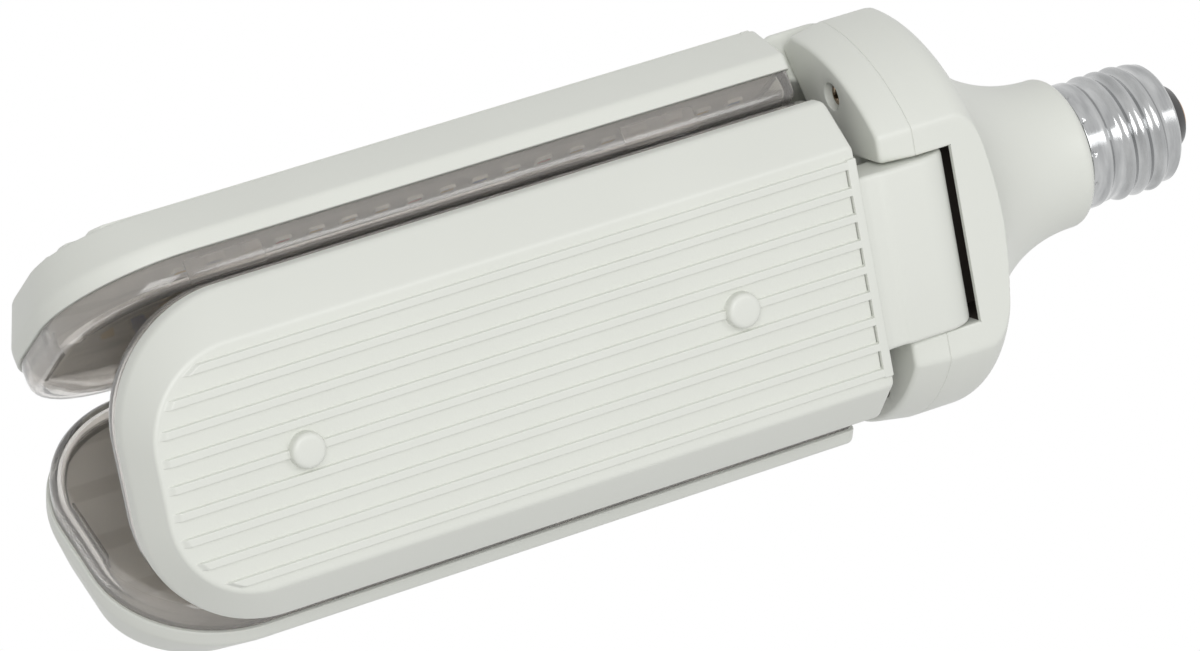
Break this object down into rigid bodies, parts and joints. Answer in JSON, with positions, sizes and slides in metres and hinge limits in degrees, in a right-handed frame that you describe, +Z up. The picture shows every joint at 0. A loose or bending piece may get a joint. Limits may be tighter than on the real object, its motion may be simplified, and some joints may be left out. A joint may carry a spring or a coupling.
{
  "type": "foldable grow light",
  "caption": "Screw-cap grow light whose ribbed LED blades hang from a hub on friction hinges and fold out flat from a closed bundle.",
  "frame": {"origin": "on the lamp's axis, in the plane where the metal cap's rim meets the end of the plastic neck", "axes": "+Z up along the cap's axis to the end contact; -Y is the way that blade 1 faces; +X completes the frame"},
  "size_m": [0.0884, 0.0804, 0.2455],
  "materials": {
    "white_housing": "satin moulded polycarbonate, slightly warm white",
    "clear_cover": "clear glossy polycarbonate",
    "cap_metal": "bright rolled aluminium",
    "cap_insulation": "black glassy insulation",
    "contact_brass": "plain brass",
    "screw_steel": "plated steel",
    "board_face": "aluminium board with a white lacquer",
    "led_white": "yellow phosphor gel in a white package",
    "led_red": "red-orange gel in a white package",
    "led_blue": "blue gel in a white package",
    "ring_rubber": "matt black rubber",
    "terminal_plastic": "white plastic",
    "lead_jacket": "white wire jacket",
    "circuit_board": "green lacquered laminate",
    "capacitor_sleeve": "dark shrink sleeve",
    "transformer_tape": "yellow tape",
    "film_case": "red-brown resin",
    "chip_case": "black resin"
  },
  "bodies": {
    "hub": {"cap_shell": "cap_metal", "cap_insulator": "cap_insulation", "cap_contact": "contact_brass", "hub_housing": "white_housing", "hub_cover": "white_housing", "hub_screws": "screw_steel", "driver_board": "circuit_board", "output_terminal": "terminal_plastic", "smoothing_capacitor": "capacitor_sleeve", "transformer": "transformer_tape", "film_capacitor": "film_case", "bridge_rectifier": "chip_case", "driver_chip": "chip_case", "fuse_resistor": "film_case", "live_lead": "lead_jacket", "neutral_lead": "lead_jacket", "hub_leads": "lead_jacket"},
    "blade_1": {"blade_1_shell": "white_housing", "blade_1_lens": "clear_cover", "blade_1_led_board": "board_face", "blade_1_white_leds": "led_white", "blade_1_red_leds": "led_red", "blade_1_blue_leds": "led_blue", "blade_1_board_screws": "screw_steel", "blade_1_friction_rings": "ring_rubber", "blade_1_terminal": "terminal_plastic", "blade_1_lead": "lead_jacket"},
    "blade_2": {"blade_2_shell": "white_housing", "blade_2_lens": "clear_cover", "blade_2_led_board": "board_face", "blade_2_white_leds": "led_white", "blade_2_red_leds": "led_red", "blade_2_blue_leds": "led_blue", "blade_2_board_screws": "screw_steel", "blade_2_friction_rings": "ring_rubber", "blade_2_terminal": "terminal_plastic", "blade_2_lead": "lead_jacket"},
    "blade_3": {"blade_3_shell": "white_housing", "blade_3_lens": "clear_cover", "blade_3_led_board": "board_face", "blade_3_white_leds": "led_white", "blade_3_red_leds": "led_red", "blade_3_blue_leds": "led_blue", "blade_3_board_screws": "screw_steel", "blade_3_friction_rings": "ring_rubber", "blade_3_terminal": "terminal_plastic", "blade_3_lead": "lead_jacket"}
  },
  "joints": [
    {"name": "blade_1_fold", "type": "hinge", "parent": "hub", "child": "blade_1", "pos_m": [0, -0.0288, -0.049], "axis": [-1, 0, 0], "range_deg": [0, 90]},
    {"name": "blade_2_fold", "type": "hinge", "parent": "hub", "child": "blade_2", "pos_m": [-0.02494, 0.0144, -0.049], "axis": [0.5, 0.866, 0], "range_deg": [0, 90]},
    {"name": "blade_3_fold", "type": "hinge", "parent": "hub", "child": "blade_3", "pos_m": [0.02494, 0.0144, -0.049], "axis": [0.5, -0.866, 0], "range_deg": [0, 90]}
  ]
}
